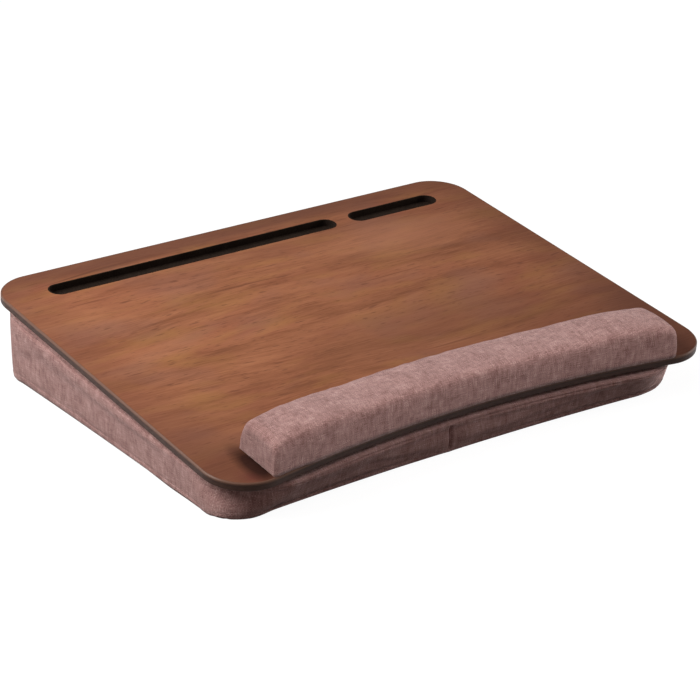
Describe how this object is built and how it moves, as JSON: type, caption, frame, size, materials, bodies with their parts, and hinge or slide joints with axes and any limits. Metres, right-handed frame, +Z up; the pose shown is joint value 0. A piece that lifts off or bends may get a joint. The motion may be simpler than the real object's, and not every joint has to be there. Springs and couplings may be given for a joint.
{
  "type": "lap tray with cushion",
  "caption": "Walnut-faced lap tray with a concave front, a long and a short slot, a curved linen wrist rest and a wedge cushion zipped at the back.",
  "frame": {"origin": "on the floor, under the middle of the tray's overall width and depth", "axes": "+X to the user's right along the tray's width, +Y away from the user to the high back edge, +Z up"},
  "size_m": [0.44, 0.3466, 0.0689],
  "materials": {
    "walnut": "satin",
    "fibreboard": "matte",
    "backing": "matte",
    "edge_trim": "satin",
    "slot_black": "matte",
    "linen": "matte",
    "foam": "matte",
    "hook_and_loop": "matte",
    "zip_tape": "matte",
    "zip_teeth": "satin",
    "zip_metal": "satin"
  },
  "bodies": {
    "tray": {"board_core": "fibreboard", "walnut_laminate": "walnut", "underside_sheet": "backing", "edge_band": "edge_trim", "tablet_slot_liner": "slot_black", "phone_slot_liner": "slot_black", "wrist_rest_cover": "linen", "wrist_rest_foam": "foam", "wrist_rest_base": "fibreboard", "cushion_band_left": "linen", "cushion_band_right": "linen", "cushion_top_panel": "linen", "cushion_zip_panel": "linen", "cushion_bottom_panel": "linen", "cushion_foam": "foam", "hook_strips": "hook_and_loop", "loop_strips": "hook_and_loop", "zip_tapes": "zip_tape", "zip_teeth_upper": "zip_teeth", "zip_teeth_lower": "zip_teeth", "zip_end_stops": "zip_metal"},
    "slider": {"zip_slider": "zip_metal"},
    "pull": {"zip_pull": "zip_metal"}
  },
  "joints": [
    {"name": "zip_slide", "type": "slide", "parent": "tray", "child": "slider", "axis": [-1, 0, 0], "range_m": [0, 0.2899]},
    {"name": "pull_swing", "type": "hinge", "parent": "slider", "child": "pull", "pos_m": [0.14145, 0.16431, 0.0323], "axis": [0, 0, -1], "range_deg": [0, 180]}
  ]
}
